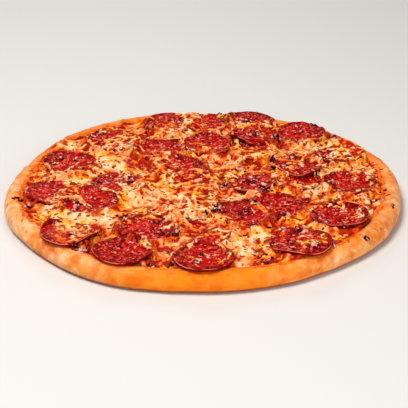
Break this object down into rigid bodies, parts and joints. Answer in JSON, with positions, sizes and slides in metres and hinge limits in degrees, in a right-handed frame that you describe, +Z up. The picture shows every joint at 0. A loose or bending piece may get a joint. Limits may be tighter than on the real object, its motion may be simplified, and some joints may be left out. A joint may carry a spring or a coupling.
{
  "type": "pepperoni pizza",
  "caption": "Whole round baked pizza with a low golden rim, melted cheese, overlapping pepperoni slices and charred onion pieces, lying flat and uncut.",
  "frame": {"origin": "centre of the pizza's outline on its flat underside", "axes": "+Z up out of the topping, -Y towards the side of the pizza nearest the viewer in the picture, +X to the viewer's right"},
  "size_m": [0.3004, 0.2962, 0.021],
  "materials": {
    "baked_dough": "golden baked dough, oiled, browned in places",
    "melted_cheese": "melted and slightly toasted, oily",
    "pepperoni": "cooked cured sausage, oily"
  },
  "bodies": {
    "root": {"crust": "baked_dough", "cheese": "melted_cheese", "slice_01": "pepperoni", "slice_02": "pepperoni", "slice_03": "pepperoni", "slice_04": "pepperoni", "slice_05": "pepperoni", "slice_06": "pepperoni", "slice_07": "pepperoni", "slice_08": "pepperoni", "slice_09": "pepperoni", "slice_10": "pepperoni", "slice_11": "pepperoni", "slice_12": "pepperoni", "slice_13": "pepperoni", "slice_14": "pepperoni", "slice_15": "pepperoni", "slice_16": "pepperoni", "slice_17": "pepperoni", "slice_18": "pepperoni", "slice_19": "pepperoni", "slice_20": "pepperoni", "slice_21": "pepperoni", "slice_22": "pepperoni", "slice_23": "pepperoni", "slice_24": "pepperoni", "slice_25": "pepperoni", "slice_26": "pepperoni", "slice_27": "pepperoni", "slice_28": "pepperoni", "slice_29": "pepperoni", "slice_30": "pepperoni"}
  },
  "joints": []
}
